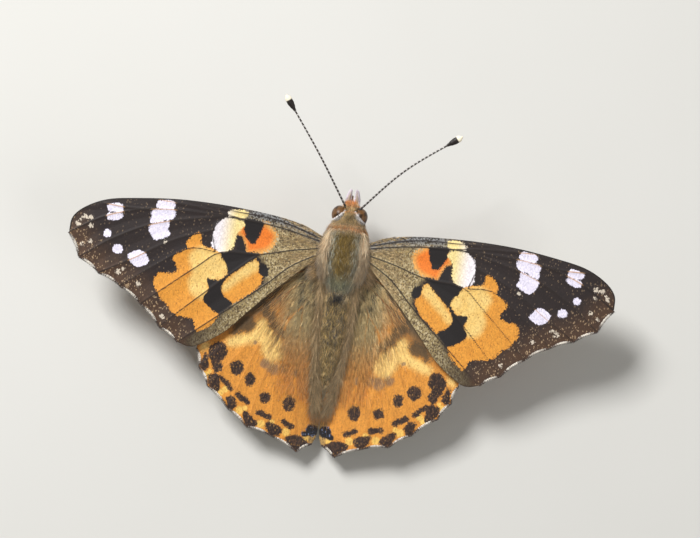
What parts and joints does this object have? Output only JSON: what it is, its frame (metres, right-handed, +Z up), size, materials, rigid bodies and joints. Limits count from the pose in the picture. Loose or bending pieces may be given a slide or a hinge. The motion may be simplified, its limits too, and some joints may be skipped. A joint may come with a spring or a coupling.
{
  "type": "painted lady butterfly model",
  "caption": "Life-size still model of a painted lady butterfly, standing with its patterned wings spread flat, feelers forward and tongue coiled.",
  "frame": {"origin": "middle of the bounding box seen from above, at the level the feet stand on", "axes": "+X to the butterfly's right, +Y forward towards the head, +Z up"},
  "size_m": [0.0646, 0.0404, 0.014],
  "materials": {
    "body_fur": "dense fine hair, olive brown, buff and blue grey",
    "eye": "glossy dark brown",
    "feeler": "dark shaft ringed with fine white dots, pale tip",
    "palp_fur": "pale scales and hair",
    "tongue": "smooth brown",
    "forewing_scales": "matt wing scales, orange, black and white",
    "hindwing_scales": "matt wing scales, orange with dark spots",
    "leg_scales": "pale buff scales"
  },
  "bodies": {
    "root": {"thorax": "body_fur", "abdomen": "body_fur", "head": "body_fur", "proboscis": "tongue", "eye_left": "eye", "antenna_left": "feeler", "palp_left": "palp_fur", "forewing_left": "forewing_scales", "hindwing_left": "hindwing_scales", "foreleg_left": "leg_scales", "leg_mid_left": "leg_scales", "leg_hind_left": "leg_scales", "eye_right": "eye", "antenna_right": "feeler", "palp_right": "palp_fur", "forewing_right": "forewing_scales", "hindwing_right": "hindwing_scales", "foreleg_right": "leg_scales", "leg_mid_right": "leg_scales", "leg_hind_right": "leg_scales"}
  },
  "joints": []
}
